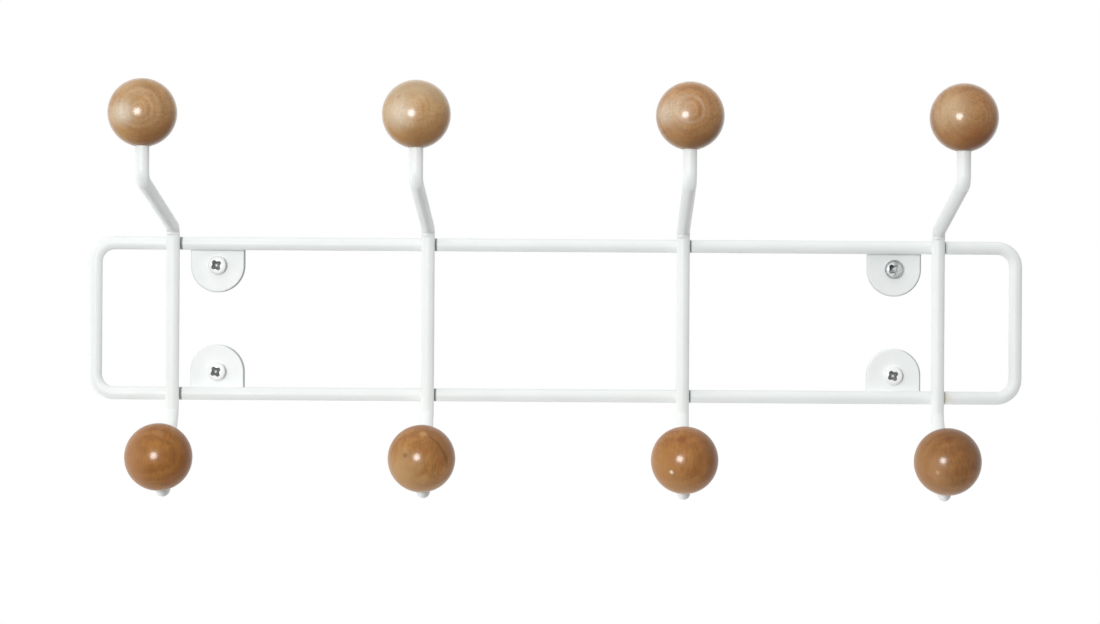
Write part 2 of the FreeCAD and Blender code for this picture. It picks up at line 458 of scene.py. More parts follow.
def painted_valley_shadows_and_stain(tree, tone, where):
    """A grey band of painted shadow in the valleys beside the hook rods, and a stain."""
    along = sum_of(tree, "SUBTRACT", part(tree, where, "X"), first_valley)
    along = sum_of(tree, "WRAP", along, hook_pitch / 2, -hook_pitch / 2)
    # painted shadow: a grey band in the valley on the right of each hook rod
    in_valley_shadow = fade(tree, sum_of(tree, "ABSOLUTE", along), 1.0 * MM, 0.4 * MM, 0.0, 0.9)
    in_front = fade(tree, part(tree, where, "Y"), rail_y, rail_y - 0.5 * rail_radius)
    tone = over(tree, sum_of(tree, "MULTIPLY", in_valley_shadow, in_front), tone, valley_shadow_grey)
    from_stain = vector_sum(tree, "DISTANCE", where, stain_place)
    return over(tree, fade(tree, from_stain, 3.2 * MM, 0.5 * MM, 0.0, 0.7), tone, stain_yellow)


print("painted valley shadows: one every", round(hook_pitch / MM, 1), "mm")

# %% [markdown]
# The tabs were cut from a sheet. Their edge is painted grey as shade where it faces right, away from the
# light, which the direction of the surface tells. The upper tabs are also painted darker from just under the
# upper rail upwards, as a painted shadow of the rail.

# %% Painted shade on the tabs
corners = [f"{row}_{column}" for row in ("upper", "lower") for column in ("left", "right")]
tabs = [f"mounting_tab_{corner}" for corner in corners]
rail_bottom = rail_heights[1] - rail_radius
tab_edge_shade_grey = (0.36, 0.375, 0.37)
rail_shadow_grey = (0.45, 0.46, 0.46)


def painted_tab_shade(tree, tone, where):
    """Painted shade on the right of a tab's edge, and a painted shadow of the upper rail."""
    # painted shade where the edge faces right, away from the light
    tone = over(tree, fade(tree, facing(tree, "X"), 0.04, 0.4, 0.0, 0.8), tone, tab_edge_shade_grey)
    # painted shadow of the upper rail on the tab behind and under it
    height = part(tree, where, "Z")
    rail_shadow = fade(tree, height, rail_bottom - 0.9 * MM, rail_bottom - 0.2 * MM, 0.0, 0.35)
    return over(tree, rail_shadow, tone, rail_shadow_grey)


print("painted edge shade: on the right of", len(tabs), "tabs")

# %% [markdown]
# A hook rod gets painted shade in three places. The rod's end under the lower ball is painted darker on its
# right side. Just above the top rail, where the rod was bent forwards, a grey line of painted shade marks
# the crease, strongest on the right. And the arm above it has a grey streak of painted shade along its
# underside, where it faces away from the light. The height of the bend isn't written down anywhere, so it is
# found by
# feeling: a ray is sent at the rod's front, higher and higher, until the front has left the upright.

# %% Painted shade on the hook rods
def start_of_bend(number):
    """The height at which a hook rod's front leaves the upright."""
    rod = nodes[f"hook_rod_{number}"]
    x = middle(f"hook_rod_{number}").x
    z = rail_heights[1]
    while True:
        hit, place, _, _ = rod.ray_cast((x, -1.0, z), (0, 1, 0))
        if not hit or place.y < hook_y - rod_radius - 0.25 * MM:
            return z
        z += 0.1 * MM


crease_height = start_of_bend(1) + 1.6 * MM
ball_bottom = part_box("lower_ball_1")[0].z
# grey tones of the painted shade on the hook rods
rod_end_shade_grey = (0.42, 0.43, 0.40)
crease_shade_grey = (0.30, 0.31, 0.30)
arm_shade_grey = (0.42, 0.43, 0.42)
arm_shade_side = Vector((0.35, 0, -0.93))


def painted_rod_shade(tree, tone, where):
    """Painted shade: the right of the rod's end under the lower ball, a grey crease at the upper bend, and a
    grey streak under the arm.
    """
    height = part(tree, where, "Z")
    to_right = facing(tree, "X")
    # painted shade on the right of the rod's end under the lower ball
    rod_end_shade = fade(tree, height, ball_bottom + 1.5 * MM, ball_bottom)
    rod_end_shade = sum_of(tree, "MULTIPLY", rod_end_shade, fade(tree, to_right, -0.3, 0.6, 0.0, 0.8))
    tone = over(tree, rod_end_shade, tone, rod_end_shade_grey)
    # painted shade along the crease at the upper bend, stronger on the right
    crease_shade = fade(tree, off_by(tree, height, crease_height), 0.9 * MM, 0.1 * MM, 0.0, 0.6)
    crease_shade = sum_of(tree, "MULTIPLY", crease_shade, fade(tree, facing(tree, "Y"), -0.1, -0.6))
    crease_shade = sum_of(tree, "MULTIPLY", crease_shade, fade(tree, to_right, -0.5, 0.6, 0.2, 1.0))
    tone = over(tree, crease_shade, tone, crease_shade_grey)
    # painted shade under the arm, where it faces away from the light
    normal = add(tree, "TexCoord").outputs["Normal"]
    under = fade(tree, vector_sum(tree, "DOT_PRODUCT", normal, arm_shade_side), 0.86, 0.985, 0.0, 0.34)
    on_arm = fade(tree, height, rail_heights[1] + 2.0 * MM, rail_heights[1] + 5.0 * MM)
    return over(tree, sum_of(tree, "MULTIPLY", under, on_arm), tone, arm_shade_grey)


print("upper bends start", round((start_of_bend(1) - rail_heights[1]) / MM, 1), "mm above the top rail")

# %% [markdown]
# All white pieces use the one powder coat. The wire and the tabs each get their own painted shade, and the
# loop a stain too. The tabs are a shade paler and duller than the rods, and the folds at the bends, which
# come later, are painted palest as a painted highlight, because they face the light.

# %% Paint the wire and the tabs
rod_tints = ((0.87, 0.902, 0.89), (0.85, 0.882, 0.87))
# painted highlight: the folds get a paler copy of the rod paint
fold_tints = ((0.94, 0.97, 0.96), (0.92, 0.95, 0.94))
tab_tints = ((0.895, 0.925, 0.92), (0.87, 0.90, 0.895))
rod_white = powder_coat("rod_white", *rod_tints, rod_gloss, peel_size, painted_rod_shade)
loop_white = powder_coat("loop_white", *rod_tints, rod_gloss, peel_size, painted_valley_shadows_and_stain)
fold_white = powder_coat("fold_white", *fold_tints, rod_gloss, peel_size)
tab_white = powder_coat("tab_white", *tab_tints, (0.40, 0.52), 1.1 * peel_size, painted_tab_shade)
repaint("rail_loop", loop_white)
for name in hook_rods:
    repaint(name, rod_white)
for name in tabs:
    repaint(name, tab_white)
print("powder coated:", len(wire) + len(tabs), "pieces")

# %% [markdown]
# ## New pieces
# What this script adds is built as a bmesh and turned into an object at the end. That last step is the same
# for every piece, so it is one helper. It smooths the faces but keeps the sharp edges crisp, hands over the
# materials, and says that the piece rides on the rack.

# %% Helpers for pieces
crisp_angle = math.radians(35.0)


def to_piece(name, shape, material_list):
    """Turns a bmesh into a piece that rides on the rack. Edges sharper than the crisp angle stay crisp."""
    for face in shape.faces:
        face.smooth = True
    for edge in shape.edges:
        edge.smooth = len(edge.link_faces) == 2 and edge.calc_face_angle(0.0) < crisp_angle
    mesh = bpy.data.meshes.new(name)
    shape.to_mesh(mesh)
    shape.free()
    for material in material_list:
        mesh.materials.append(material)
    piece = bpy.data.objects.new(name, mesh)
    bpy.context.scene.collection.objects.link(piece)
    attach(piece, "root")
    return piece


def skin(radius, across):
    """How far a round rod's skin stands from its axis plane, at a distance across from the axis."""
    return math.sqrt(max(radius ** 2 - across ** 2, 0.0))


print("edges over", round(math.degrees(crisp_angle)), "degrees stay crisp")

# %% [markdown]
# ## Weld beads at the crossings
# Each hook rod is pressed against both rails and welded. The metal that is squeezed out makes a small bead
# in the valley all round the contact, and the paint rounds it off. A torus would do on a flat plate, but
# the valley between two crossed rods rises and falls like a saddle. So a small circle is spun into a ring,
# and then each of its points is moved to the middle of the gap between the two rods at that place.

# %% Weld beads at the crossings
bead_ring = 1.95 * MM
bead_section = 0.3 * MM


def crossing_bead(name, x, z):
    """A bead round the contact of a hook rod, which is upright, and a rail, which lies along the rack."""
    shape = bmesh.new()
    bmesh.ops.create_circle(shape, segments=12, radius=bead_section)
    bmesh.ops.translate(shape, verts=shape.verts, vec=(bead_ring, 0, 0))
    bmesh.ops.spin(shape, geom=shape.verts[:] + shape.edges[:], cent=(0, 0, 0), axis=(0, 1, 0),
                   angle=math.tau, steps=40, use_merge=True)
    bmesh.ops.remove_doubles(shape, verts=shape.verts, dist=0.001 * MM)
    bmesh.ops.recalc_face_normals(shape, faces=shape.faces)
    for point in shape.verts:
        away = Vector((point.co.x, point.co.z)).normalized() * bead_ring
        hook_skin = hook_y + skin(rod_radius, away.x)
        rail_skin = rail_y - skin(rail_radius, away.y)
        point.co.y += (hook_skin + rail_skin) / 2
    bmesh.ops.translate(shape, verts=shape.verts, vec=(x, 0, z))
    return to_piece(name, shape, [rod_white])


for number in hook_numbers:
    for rail, z in zip(("bottom", "top"), rail_heights):
        bead = crossing_bead(f"weld_bead_{rail}_{number}", middle(f"hook_rod_{number}").x, z)
print("weld beads:", 2 * len(hook_numbers), "with", len(bead.data.polygons), "faces each")

# %% [markdown]
# ## Folds at the bends
# Where a rod is bent over a tight former, the metal on the inside of the bend has nowhere to go and bulges
# into a short fold across the rod. It is a small thing, but it catches the light just under each arm. A
# sphere is pressed flat and wide, and its points are then moved back to follow the round of the rod.

# %% Folds at the bends
fold_size = Vector((2.3 * MM, 0.7 * MM, 0.75 * MM))
fold_aside = 0.4 * MM
fold_rise = 0.3 * MM


def bend_fold(name, x, z):
    """A fold across the front of an upright rod."""
    shape = bmesh.new()
    bmesh.ops.create_uvsphere(shape, u_segments=24, v_segments=16, radius=1.0)
    bmesh.ops.scale(shape, verts=shape.verts, vec=fold_size)
    for point in shape.verts:
        point.co.y += rod_radius - skin(rod_radius, point.co.x)
    bmesh.ops.translate(shape, verts=shape.verts, vec=(x, hook_y - rod_radius, z))
    return to_piece(name, shape, [fold_white])


for number in hook_numbers:
    fold_height = start_of_bend(number) + fold_rise
    fold = bend_fold(f"bend_fold_{number}", middle(f"hook_rod_{number}").x - fold_aside, fold_height)
print("bend folds:", len(hook_numbers), "with", len(fold.data.polygons), "faces each")

# %% [markdown]
# ## Weld beads at the tabs
# The tabs are welded behind the rails. Here the valley is straight, between the back of the rod and the
# flat plate, so the bead is a short bar with rounded ends. A circle is extruded along the rack ring by
# ring, and each ring gets its own radius, from nothing at one end, through full, to nothing at the other.

# %% Weld beads at the tabs
def push_ring(shape, edges):
    """Extrudes a ring of edges, and returns the new edges and points."""
    made = bmesh.ops.extrude_edge_only(shape, edges=edges)["geom"]
    new_edges = [g for g in made if isinstance(g, bmesh.types.BMEdge)]
    points = [g for g in made if isinstance(g, bmesh.types.BMVert)]
    return [e for e in new_edges if all(p in points for p in e.verts)], points


tab_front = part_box("mounting_tab_upper_left")[0].y
tab_bead_length = 15.0 * MM
tab_bead_section = 0.75 * MM
tab_bead_rings = 24
valley_drop = 2.1 * MM
valley_depth = (rail_y + skin(rail_radius, valley_drop) + tab_front) / 2


def tab_bead(name, x, z):
    """A short bead along the rack, from x minus half its length to x plus half."""
    shape = bmesh.new()
    bmesh.ops.create_circle(shape, segments=12, radius=tab_bead_section * 0.12)
    bmesh.ops.rotate(shape, verts=shape.verts, cent=(0, 0, 0), matrix=Matrix.Rotation(math.pi / 2, 3, "Y"))
    edges = shape.edges[:]
    for ring in range(1, tab_bead_rings + 1):
        edges, points = push_ring(shape, edges)
        along = ring / tab_bead_rings
        round_end = max(1 - abs(2 * along - 1) ** 6, 0.015) ** 0.5
        for point in points:
            around = Vector((0, point.co.y, point.co.z)).normalized()
            point.co = around * tab_bead_section * round_end + Vector((tab_bead_length * along, 0, 0))
    bmesh.ops.holes_fill(shape, edges=[e for e in shape.edges if e.is_boundary])
    bmesh.ops.recalc_face_normals(shape, faces=shape.faces)
    bmesh.ops.translate(shape, verts=shape.verts, vec=(x - tab_bead_length / 2, valley_depth, z))
    return to_piece(name, shape, [tab_white])


for row, rail_z, sign in (("upper", rail_heights[1], -1), ("lower", rail_heights[0], 1)):
    for column in ("left", "right"):
        x = middle(f"mounting_tab_{row}_{column}").x
        bead = tab_bead(f"tab_bead_{row}_{column}", x, rail_z + sign * valley_drop)
print("tab beads:", len(corners), "with", len(bead.data.polygons), "faces each")

# %% [markdown]
# ## Turned wooden balls
# The balls are turned from straight-grained hardwood and lacquered. The four upper ones were turned with
# the pith of the branch towards the viewer, so growth rings show as circles. The lower ones show side
# grain, long streaks and broad arcs, and are stained redder. One tree makes both, because a growth ring is
# only the distance from the pith line: put the line through the ball towards the viewer and it draws
# circles, lay it down behind the ball and it draws arcs. A one-dimensional noise on that distance gives
# rings of uneven width and strength.

# %% Wood grain
def grain_space(tree, centre, pith, turn):
    """Coordinates whose Y axis is the pith line, which passes the ball's centre at pith, in millimetres."""
    place = add(tree, "Mapping", Vector=place_of(tree))
    place.vector_type = "TEXTURE"
    place.inputs["Location"].default_value = Vector(centre) + Vector(pith) * MM
    place.inputs["Rotation"].default_value = [math.radians(angle) for angle in turn]
    return place.outputs["Vector"]


def waver(tree, grain, amount):
    """The grain with a slow wander, because no tree grows true circles."""
    drift = add(tree, "TexNoise", Vector=grain, Scale=85.0, Detail=2.0).outputs["Color"]
    drift = vector_sum(tree, "SUBTRACT", drift, (0.5, 0.5, 0.5))
    drift = vector_sum(tree, "MULTIPLY", drift, (amount, amount, amount))
    return vector_sum(tree, "ADD", grain, drift)


def from_pith(tree, grain):
    """The distance from the pith line."""
    return vector_sum(tree, "LENGTH", vector_sum(tree, "MULTIPLY", grain, (1.0, 0.0, 1.0)))


def growth_rings(tree, grain, ring_width):
    """The tone of the rings, from 0 to 1."""
    rings = add(tree, "TexNoise")
    rings.noise_dimensions = "1D"
    feed_all(tree, rings, W=from_pith(tree, grain), Scale=1 / ring_width, Detail=1.0, Roughness=0.5)
    return fade(tree, rings.outputs["Fac"], 0.32, 0.68)


def fibres(tree, grain, width, length):
    """Fine streaks along the pith line, which are specks where the grain is cut across."""
    stretched = vector_sum(tree, "MULTIPLY", grain, (1.0, width / length, 1.0))
    return noise(tree, stretched, 1 / width, 3.0, 0.7)


print("grain: rings round a pith line, a slow waver and fine fibres")

# %% [markdown]
# No two balls match, and the small marks are what makes the eye believe in wood: a pale sapwood patch, a
# pin knot, a dark streak, one ring that stands out. Other marks are painted light and shade: a side that is
# darker and redder than the other, or paler, a pale sheen, a glint on a nib. Each kind of mark is a function
# that lays a colour over the tone so far. It gets the tree, the tone, the grain and face(), which turns
# millimetres right of and above the middle of a ball's face into a place. Noise in the distance gives a mark
# a soft, ragged edge.

# %% Patches and painted sides in the wood
def patch(reach, colour, strength, right, up):
    """A soft patch of another colour, strongest at its place and gone at its reach."""
    def lay(tree, tone, grain, face):
        where = place_of(tree)
        ragged = wander(tree, where, 2.2 / (reach * MM), 3.0, reach * MM)
        distance = sum_of(tree, "ADD", vector_sum(tree, "DISTANCE", where, face(right, up)), ragged)
        return over(tree, fade(tree, distance, reach * MM, reach * 0.15 * MM, 0.0, strength), tone, colour)
    return lay


def painted_side_shading(colour, strength, toward, start, end):
    """Another colour toward one side of a ball's face, from none at start to most at end: painted light
    where it is paler, painted shade where it is darker.
    """
    def lay(tree, tone, grain, face):
        across = vector_sum(tree, "SUBTRACT", place_of(tree), face(0, 0))
        along = vector_sum(tree, "DOT_PRODUCT", across, Vector((toward[0], 0, toward[1])).normalized())
        along = sum_of(tree, "ADD", along, wander(tree, grain, 120.0, 2.0, 8.0 * MM))
        # painted light where the colour is paler, painted shade where it is darker
        return over(tree, fade(tree, along, start * MM, end * MM, 0.0, strength), tone, colour)
    return lay


print("marks: placed in millimetres right of and above the middle of a ball's face")

# %% [markdown]
# End grain catches the light in one place and goes dull beside it, as the cut ends of the ray cells do. That
# sheen is painted into the colour. And now and then a single line stands out, such as a strong growth ring
# round the pith, or a curved streak of resin that has nothing to do with the rings and gets a hub of its
# own.

# %% Painted sheen and lines in the wood
def painted_sheen(reach, colour, strength, right, up):
    """A painted sheen of end grain: a wide soft pale patch in the colour, broken up by fine flecks."""
    def lay(tree, tone, grain, face):
        where = place_of(tree)
        flecks = noise(tree, where, 900.0, 3.0, 0.7)
        distance = vector_sum(tree, "DISTANCE", where, face(right, up))
        # painted sheen: a pale patch in the colour that stands for reflected light
        share = fade(tree, distance, reach * MM, 0.0, 0.0, strength)
        share = sum_of(tree, "MULTIPLY", share, fade(tree, flecks, 0.35, 0.65, 0.7, 1.0))
        return over(tree, share, tone, colour)
    return lay


def ring(radius, width, colour, strength):
    """One growth ring that stands out, a little stronger on one side than on the other."""
    def lay(tree, tone, grain, face):
        line = fade(tree, off_by(tree, from_pith(tree, grain), radius * MM), width * MM, 0.0)
        uneven = fade(tree, noise(tree, grain, 160.0, 1.0), 0.3, 0.6, 0.4, 1.0)
        share = sum_of(tree, "MULTIPLY", line, uneven)
        return over(tree, sum_of(tree, "MULTIPLY", share, strength), tone, colour)
    return lay


def streak(radius, width, colour, strength, hub, near, reach):
    """A thin curved line, part of a circle round a hub, that fades out away from a place near it."""
    def lay(tree, tone, grain, face):
        where = place_of(tree)
        flat = vector_sum(tree, "MULTIPLY", where, (1.0, 0.0, 1.0))
        centre = face(*hub)
        centre.y = 0.0
        off = sum_of(tree, "SUBTRACT", vector_sum(tree, "DISTANCE", flat, centre), radius * MM)
        off = sum_of(tree, "ADD", off, wander(tree, where, 300.0, 2.0, width * 2 * MM))
        line = fade(tree, sum_of(tree, "ABSOLUTE", off), width * MM, 0.0)
        spot = vector_sum(tree, "DISTANCE", where, face(*near))
        extent = fade(tree, spot, reach * MM, reach * 0.5 * MM, 0.0, strength)
        return over(tree, sum_of(tree, "MULTIPLY", line, extent), tone, colour)
    return lay


print("kinds of mark:", [kind.__name__ for kind in (patch, painted_side_shading, painted_sheen, ring, streak)])

# %% [markdown]
# The lacquer is a second, smoother layer over the wood, which is the Coat of the Principled shader. Under
# it the wood keeps a dull sheen of its own. Both are weak: a strong one lays a grey veil over the whole
# ball, because a pale room is reflected from every side. Layer Weight tells how far a place is turned away,
# and lets the coat give the rim its thin bright edge. A nib is a speck of dust under the lacquer. It is a
# small bump, and it bends the coat too, so it gets a bright spot of its own.

# %% Turned wood
fibre_width = 1.1 * MM
grain_drift = 2.0 * MM
nib_reach = 0.9 * MM
nib_rise = 0.35 * MM


def wood_tone(tree, grain, kind, ring_width, early, late):
    """The tone of bare wood and the fibres in it: rings, then soft clouds, then dark and pale specks."""
    redder = [amount * share for amount, share in zip(late, (0.98, 0.80, 0.62))]
    tone = over(tree, growth_rings(tree, grain, ring_width), late, early)
    clouds = noise(tree, grain, 210.0, 4.0)
    tone = over(tree, fade(tree, clouds, 0.5, 0.75, 0.0, 0.6), tone, shaded(early, 1.22))
    tone = over(tree, fade(tree, clouds, 0.5, 0.3, 0.0, 0.6), tone, redder)
    streaks = fibres(tree, grain, fibre_width, kind["lengthwise"] * MM)
    tone = over(tree, fade(tree, streaks, 0.34, 0.5, kind["speckle"], 0.0), tone, shaded(late, 0.5))
    tone = over(tree, fade(tree, streaks, 0.5, 0.66, 0.0, kind["speckle"]), tone, shaded(early, 1.35))
    return tone, streaks


def lacquer(tree, shader, sheen, edge_gloss):
    """A clear coat that fades from the middle of a ball to its side, and is bright again at the rim."""
    rim = add(tree, "LayerWeight", Blend=0.5).outputs["Facing"]
    face_gloss = fade(tree, rim, *sheen, 0.34, 0.06)
    rim_gloss = fade(tree, rim, 0.45, 0.8, 0.0, edge_gloss)
    gloss = sum_of(tree, "ADD", face_gloss, rim_gloss)
    feed_all(tree, shader, Coat_Weight=gloss, Coat_Roughness=0.18, Specular_IOR_Level=0.13)


def turned_wood(ball, kind, pith, turn, ring_width, early, late, marks=(), nib=None):
    """Gives one ball its wood: a kind of cut, rings in two tones round a pith, marks, and a nib if any."""
    material, tree, shader = finish(f"{ball}_wood")
    centre = middle(ball)
    radius = half_width(ball)

    def face(right, up):
        """The place on the ball's face that is this many millimetres right of and above its middle."""
        across = Vector((right, 0, up)) * MM
        return centre + across - Vector((0, skin(radius, across.length), 0))

    grain = waver(tree, grain_space(tree, centre, pith, turn), grain_drift)
    tone, streaks = wood_tone(tree, grain, kind, ring_width * MM, early, late)
    for lay in marks:
        tone = lay(tree, tone, grain, face)
    roughness = fade(tree, streaks, 0.3, 0.7, 0.38, 0.30)
    pores = bumps(tree, streaks, 0.12, 0.05 * MM)
    feed_all(tree, shader, Base_Color=tone, Roughness=roughness, Normal=pores)
    if nib:
        swelling = fade(tree, vector_sum(tree, "DISTANCE", place_of(tree), face(*nib)), nib_reach, 0.0)
        feed_all(tree, shader, Coat_Normal=bumps(tree, swelling, 1.0, nib_rise))
    lacquer(tree, shader, kind["sheen"], kind["edge_gloss"])
    repaint(ball, material)


print("lacquer: a smooth coat over wood with fibres", round(fibre_width / MM, 1), "mm wide")

# %% [markdown]
# The upper balls are pale, like beech or maple. Each gets its own pith, because the rings sit in another
# place on every ball. Their lower right sides are painted darker and redder as shade, in two steps, and the
# same warmer patch low on the left of each keeps that off the lower left. Their left sides get a painted
# sheen where the light from the left falls, and the second ball a paler, greyer top as painted light.

# %% Upper balls
# pale colour of some real growth rings, and of the painted sheen
pale_ring_and_sheen_colour = (0.78, 0.70, 0.57)
end_grain = {"lengthwise": 14.0, "speckle": 0.26, "sheen": (0.15, 0.7), "edge_gloss": 0.85}
turned_wood(
    "upper_ball_1", end_grain, pith=(1.7, 0, 1.5), turn=(4, 0, -3), ring_width=1.7,
    early=(0.445, 0.254, 0.108), late=(0.367, 0.20, 0.079),
    marks=(
        ring(3.0, 1.0, pale_ring_and_sheen_colour, 0.07),
        ring(5.6, 1.1, pale_ring_and_sheen_colour, 0.10),
        ring(8.2, 1.1, pale_ring_and_sheen_colour, 0.06),
        # painted shade: the lower right darker and redder in two steps, kept off the lower left by the
        # warmer patch
        painted_side_shading((0.34, 0.145, 0.035), 0.75, (0.5, -1.0), 4, 14),
        painted_side_shading((0.26, 0.10, 0.02), 0.65, (1.0, -1.0), 7, 15),
        patch(8.0, (0.50, 0.27, 0.09), 0.6, -7.0, -9.5),
        # painted sheen on the left and upper left
        painted_sheen(8.6, pale_ring_and_sheen_colour, 0.80, -6.7, -1.2),
        painted_sheen(8.0, (0.68, 0.56, 0.38), 0.4, -11.3, -1.5),
        painted_sheen(10.0, (0.58, 0.42, 0.25), 0.35, -4.0, 9.0)))
turned_wood(
    "upper_ball_2", end_grain, pith=(-1.0, 0, 0.5), turn=(-6, 0, 4), ring_width=1.8,
    early=(0.51, 0.318, 0.150), late=(0.43, 0.25, 0.105),
    marks=(
        # painted light on the top, painted shade on the lower right, kept off the lower left by the warmer
        # patch
        painted_side_shading((0.47, 0.355, 0.225), 0.7, (-0.1, 1.0), 1, 11),
        painted_side_shading((0.35, 0.16, 0.045), 0.8, (0.6, -1.0), 2, 12),
        patch(8.0, (0.47, 0.245, 0.09), 0.6, -7.0, -10.5),
        patch(1.7, (0.26, 0.16, 0.07), 0.5, -6.8, 6.4),
        # painted sheen on the left
        painted_sheen(10.5, pale_ring_and_sheen_colour, 0.72, -6.6, -0.6),
        painted_sheen(8.0, (0.68, 0.56, 0.40), 0.35, -11.5, 0.0)))
turned_wood(
    "upper_ball_3", end_grain, pith=(-0.4, 0, 2.0), turn=(2, 0, 0), ring_width=1.7,
    early=(0.435, 0.228, 0.090), late=(0.358, 0.178, 0.068),
    marks=(
        ring(2.7, 1.0, pale_ring_and_sheen_colour, 0.06),
        ring(5.8, 1.1, pale_ring_and_sheen_colour, 0.20),
        ring(4.3, 0.9, (0.29, 0.13, 0.05), 0.3),
        # painted shade: the lower right darker and redder in two steps, kept off the lower left by the
        # warmer patch
        painted_side_shading((0.30, 0.125, 0.03), 0.75, (0.5, -1.0), 4, 14),
        painted_side_shading((0.22, 0.09, 0.02), 0.65, (1.0, -1.0), 7, 15),
        patch(8.0, (0.45, 0.24, 0.09), 0.6, -7.0, -9.5),
        # painted sheen on the left
        painted_sheen(12.0, (0.75, 0.64, 0.48), 0.5, -7.3, 1.5),
        painted_sheen(8.0, pale_ring_and_sheen_colour, 0.5, -11.8, 0.0)))
turned_wood(
    "upper_ball_4", end_grain, pith=(1.0, 0, 2.0), turn=(8, 0, 6), ring_width=1.9,
    early=(0.40, 0.205, 0.078), late=(0.33, 0.158, 0.056),
    marks=(
        ring(8.2, 0.9, (0.25, 0.11, 0.038), 0.25),
        ring(11.2, 1.0, (0.25, 0.11, 0.038), 0.25),
        ring(9.8, 0.9, (0.48, 0.28, 0.13), 0.25),
        # painted shade: the lower right darker and redder in two steps, kept off the lower left by the
        # warmer patch
        painted_side_shading((0.33, 0.12, 0.025), 0.75, (0.4, -1.0), 2, 11),
        painted_side_shading((0.19, 0.05, 0.004), 0.7, (1.0, -1.0), 6, 15),
        patch(8.0, (0.45, 0.225, 0.085), 0.6, -7.0, -9.5),
        # painted sheen on the left
        painted_sheen(13.0, (0.62, 0.46, 0.285), 0.72, -7.6, 2.6),
        painted_sheen(8.0, (0.60, 0.44, 0.27), 0.35, -12.0, -1.0)))
print("upper balls:", [round(half_width(ball) * 2 / MM, 1) for ball in upper_balls], "mm")

# %% [markdown]
# The lower balls are stained a red brown, and show side grain. Each is painted paler towards the left as
# painted light and darker towards the right as painted shade, and the second and fourth get a wide pale
# patch of painted light on the left too. Their other marks are the ones that a stain brings out: a resin
# streak, darker soft spots, paler hard ones. The third and fourth have a painted glint on a dust nib.

# %% Lower balls
side_grain = {"lengthwise": 6.0, "speckle": 0.3, "sheen": (0.4, 0.9), "edge_gloss": 0.2}
turned_wood(
    "lower_ball_1", side_grain, pith=(2, 9, -6), turn=(80, 0, 20), ring_width=1.6,
    early=(0.335, 0.139, 0.025), late=(0.270, 0.102, 0.016),
    marks=(
        # painted light on the left, painted shade on the right
        painted_side_shading((0.375, 0.18, 0.07), 0.65, (-1.0, -0.1), 0, 9),
        painted_side_shading((0.20, 0.06, 0.003), 0.65, (1.0, -0.2), 3, 14),
        patch(3.2, (0.38, 0.18, 0.075), 0.5, 1.8, 11.0)))
turned_wood(
    "lower_ball_2", side_grain, pith=(-4, 22, -4), turn=(86, 0, -12), ring_width=2.2,
    early=(0.385, 0.178, 0.048), late=(0.318, 0.136, 0.032),
    marks=(
        # painted light on the lower left, painted shade on the upper right, and a wide patch of painted
        # light on the left
        painted_side_shading((0.43, 0.235, 0.09), 0.6, (-0.6, -1.0), -1, 12),
        painted_side_shading((0.24, 0.09, 0.018), 0.6, (0.8, 0.8), 3, 13),
        patch(13.0, (0.55, 0.36, 0.17), 0.45, -7.5, -3.5),
        streak(15.3, 0.7, (0.14, 0.055, 0.014), 0.7, (-3.4, -3.2), (9.0, 5.0), 10.0),
        patch(2.6, (0.55, 0.34, 0.14), 0.6, 1.3, 11.5),
        patch(1.7, (0.15, 0.06, 0.015), 0.6, -6.2, 2.2),
        patch(3.0, (0.52, 0.30, 0.12), 0.5, 2.1, -8.0)))
turned_wood(
    "lower_ball_3", side_grain, pith=(6, 16, 4), turn=(84, 0, 8), ring_width=2.0,
    early=(0.365, 0.158, 0.038), late=(0.300, 0.118, 0.026), nib=(-6.2, -4.5),
    marks=(
        # painted light on the lower left, painted shade on the right
        painted_side_shading((0.425, 0.212, 0.072), 0.7, (-0.8, -0.7), -1, 10),
        painted_side_shading((0.20, 0.072, 0.012), 0.75, (1.0, 0.2), 3, 14),
        patch(3.2, (0.20, 0.055, 0.012), 0.6, -1.3, 10.3),
        # painted glint on the dust nib
        patch(1.3, (0.85, 0.74, 0.60), 0.95, -6.2, -4.5)))
turned_wood(
    "lower_ball_4", side_grain, pith=(-8, 18, 6), turn=(95, 0, -6), ring_width=2.0,
    early=(0.305, 0.132, 0.035), late=(0.252, 0.103, 0.026), nib=(-6.2, -4.0),
    marks=(
        # painted light on the lower left, painted shade on the upper right
        painted_side_shading((0.37, 0.188, 0.07), 0.7, (-0.8, -0.6), -1, 10),
        painted_side_shading((0.17, 0.062, 0.012), 0.75, (0.7, 0.8), 2, 13),
        patch(3.4, (0.17, 0.05, 0.014), 0.5, -0.5, 10.5),
        # darker towards the right edge, then a wide patch of painted light on the left
        patch(4.0, (0.16, 0.055, 0.010), 0.6, 10.5, -1.0),
        patch(7.5, (0.465, 0.265, 0.13), 0.4, -6.3, -3.6),
        # painted glint on the dust nib
        patch(1.3, (0.60, 0.36, 0.22), 0.8, -6.2, -4.0)))
print("lower balls:", [round(half_width(ball) * 2 / MM, 1) for ball in lower_balls], "mm")

# %% [markdown]
# ## Screws
# Four pan-head wood screws hold the tabs. Three have white enamelled heads, worn to bare metal in the cross
# recess, which is made dark as painted shade, and one is bare zinc. A head could be spun from a profile, but
# a cross isn't round, so the head starts from its top: a grid of nine squares. The middle square and the
# four beside it are pulled into a cross with short wings that narrow outwards, and they get the second
# material slot, which their parts keep when the grid is cut finer. The grid's edge is pushed out to a
# circle, and the points are then lifted onto the dome.

# %% Screw head
head_low, head_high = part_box("wall_screw_upper_left")
head_radius = (head_high.x - head_low.x) / 2
head_height = tab_front - head_low.y
head_side = 1.3 * MM
recess_reach = 2.5 * MM
recess_waist = 1.2 * MM
recess_tip = 0.6 * MM
grid_corner = 0.8 * recess_reach
print("screw head:", round(head_radius * 2 / MM, 2), "mm across,", round(head_height / MM, 2), "mm high")


